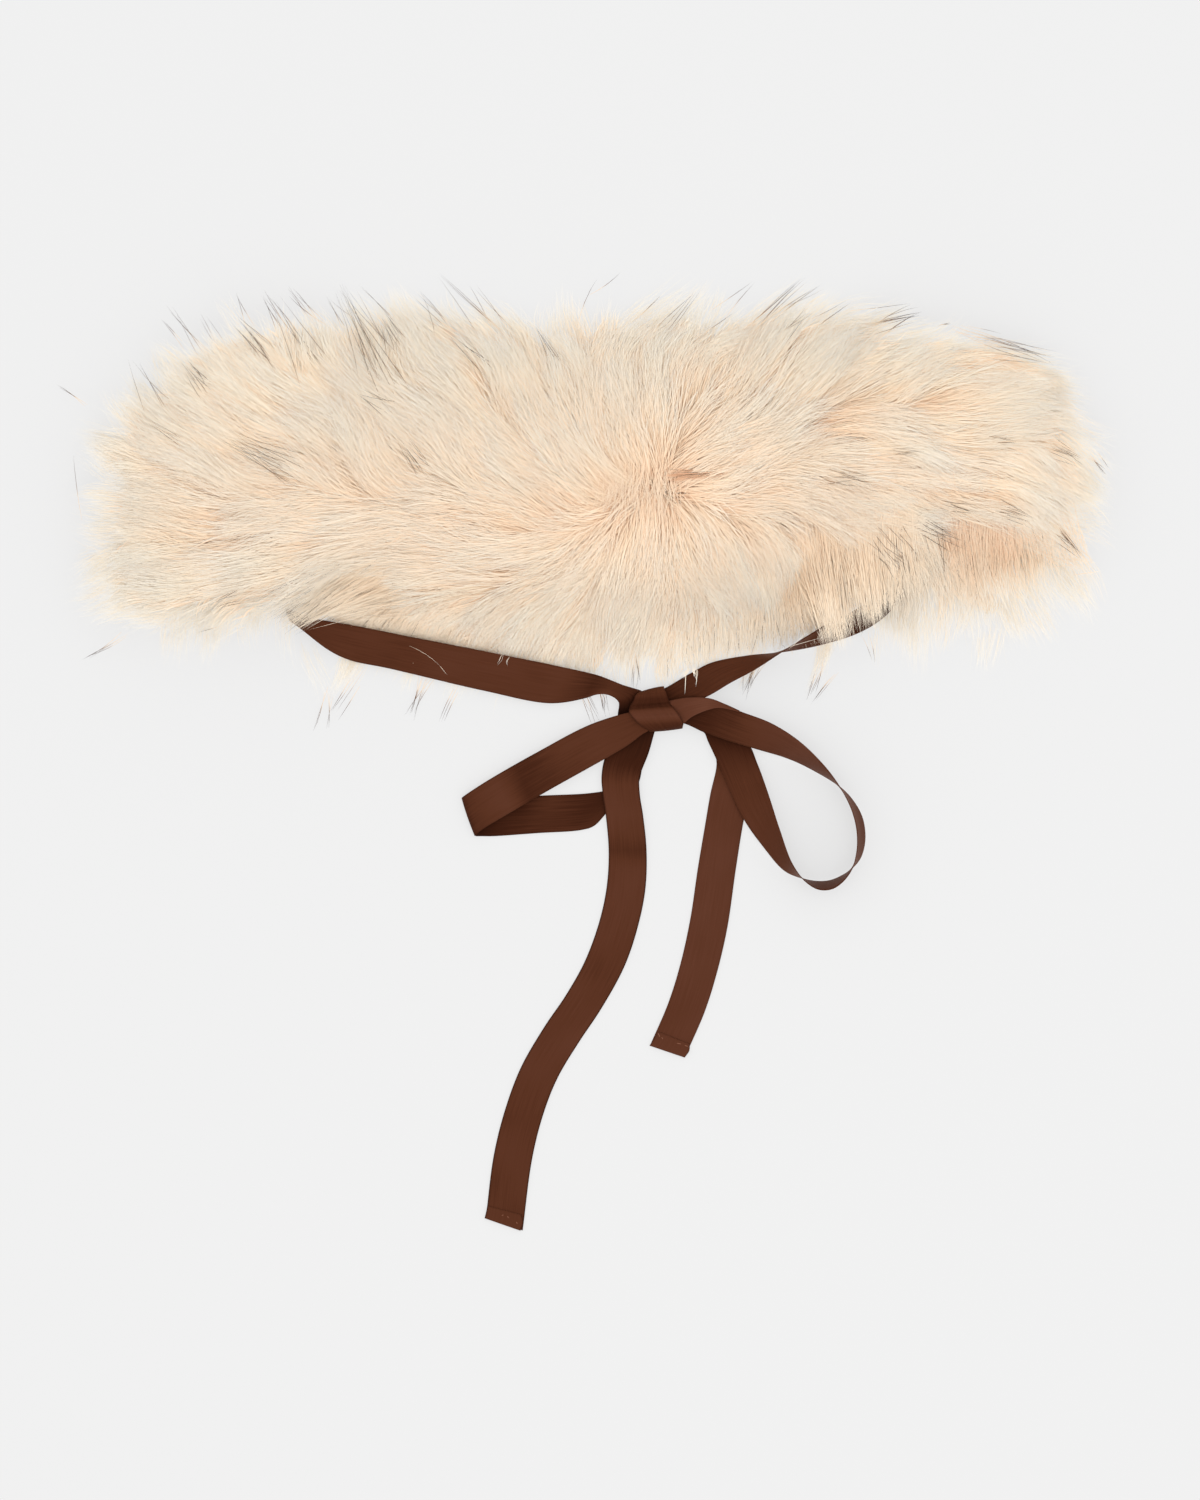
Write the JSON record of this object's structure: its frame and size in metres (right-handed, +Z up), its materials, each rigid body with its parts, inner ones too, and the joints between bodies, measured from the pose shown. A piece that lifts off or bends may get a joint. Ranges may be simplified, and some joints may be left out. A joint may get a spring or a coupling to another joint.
{
  "type": "fur collar wrap",
  "caption": "Long-pile faux fur collar wrap laid flat, its ends folded under, with satin ribbon ties knotted in a bow.",
  "frame": {"origin": "on the table, under the middle of the bounding box of the laid-out collar and its ribbons", "axes": "+X along the collar, +Y from the ribbon tails towards the fur, +Z up from the table"},
  "size_m": [0.5326, 0.4909, 0.0552],
  "materials": {
    "long_pile": "cream long-pile faux fur with peach roots and dark-tipped guard hairs",
    "long_pile_under": "the same faux fur, seen at its peach roots where it is folded under",
    "satin_ribbon": "chocolate brown double-faced satin ribbon"
  },
  "bodies": {
    "root": {"fur_back": "long_pile", "fur_end_left": "long_pile_under", "fur_end_right": "long_pile_under", "tie_left": "satin_ribbon", "tie_right": "satin_ribbon", "knot": "satin_ribbon", "loop_left": "satin_ribbon", "loop_right": "satin_ribbon", "tail_left": "satin_ribbon", "tail_right": "satin_ribbon"}
  },
  "joints": []
}
